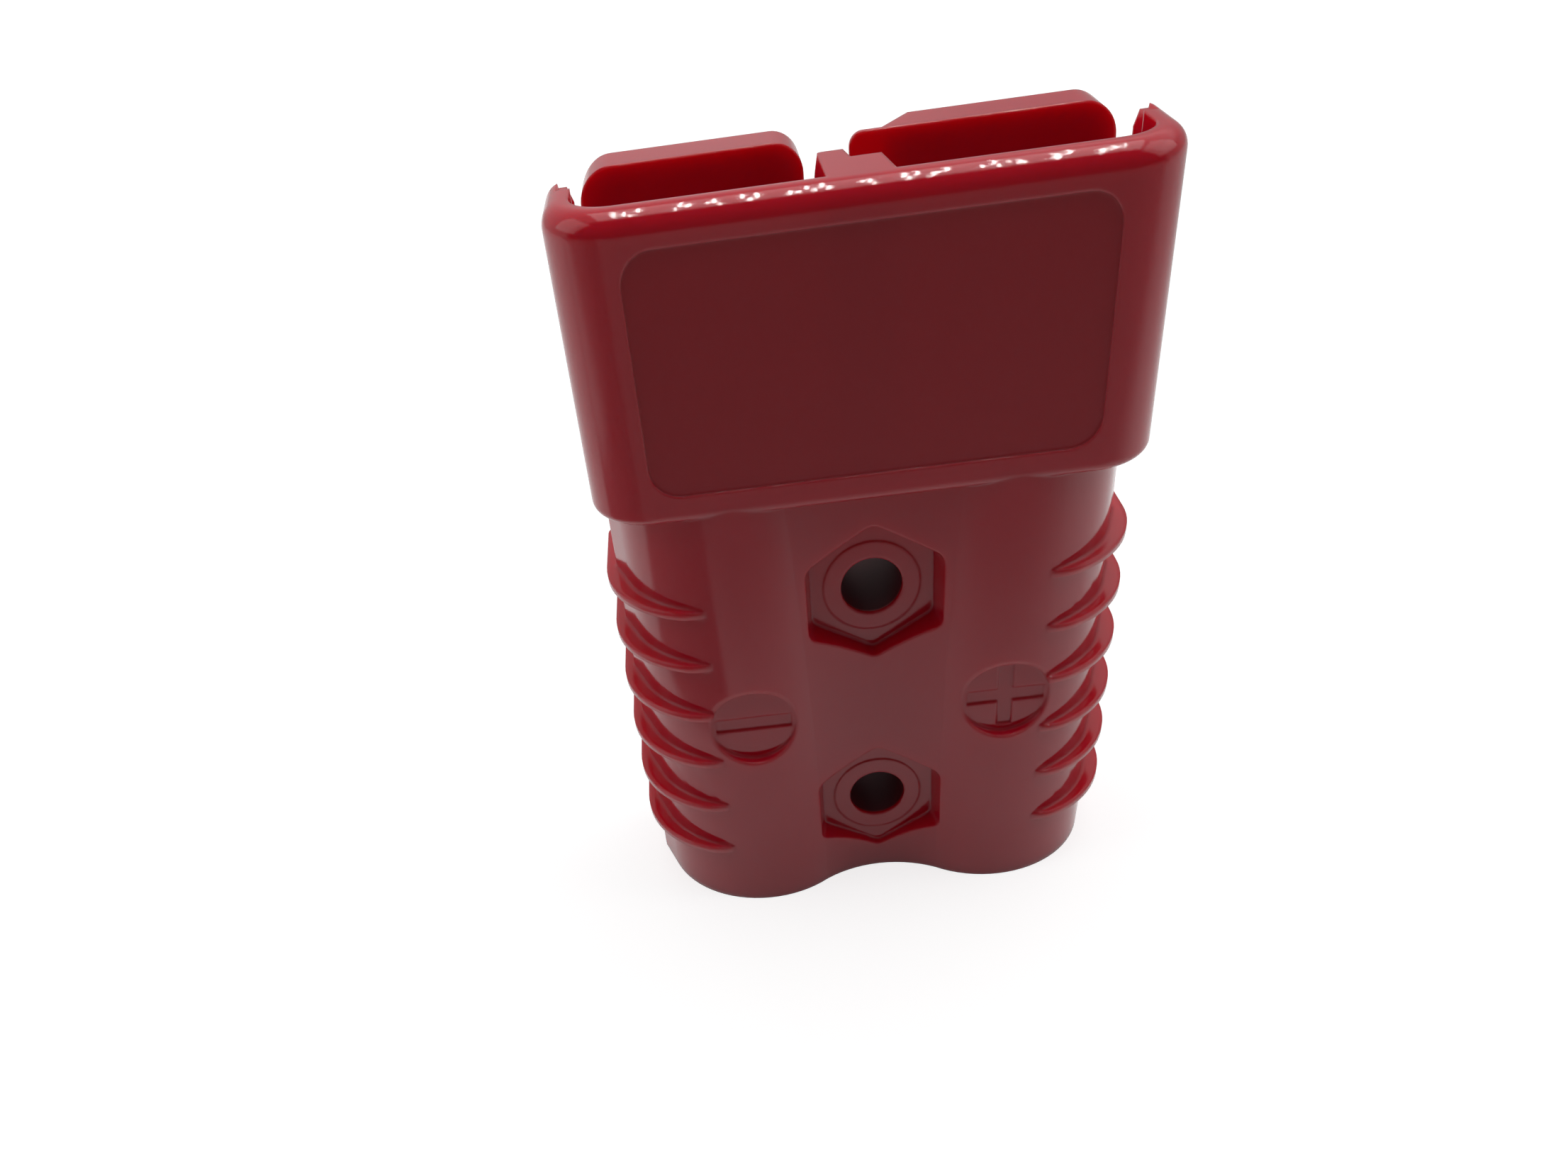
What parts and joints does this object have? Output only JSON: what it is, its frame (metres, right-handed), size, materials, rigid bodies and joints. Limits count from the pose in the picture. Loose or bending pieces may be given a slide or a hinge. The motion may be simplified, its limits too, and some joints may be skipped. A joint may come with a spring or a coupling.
{
  "type": "genderless power connector",
  "caption": "Red genderless battery connector half: hooded housing, side-by-side cable barrels with grip ribs, keyed mating tongues, crimp contacts and leaf springs.",
  "frame": {"origin": "middle of the cable end face, on the mid-plane that both mating halves share", "axes": "+Z towards the mating end, -Y towards the hood and its label panel, +X across both poles"},
  "size_m": [0.057, 0.0249, 0.0801],
  "materials": {
    "red_plastic": "glossy moulded polycarbonate",
    "plated_copper": "silver plated",
    "spring_steel": "satin"
  },
  "bodies": {
    "root": {"housing": "red_plastic", "left_contact": "plated_copper", "left_spring": "spring_steel", "right_contact": "plated_copper", "right_spring": "spring_steel"}
  },
  "joints": []
}
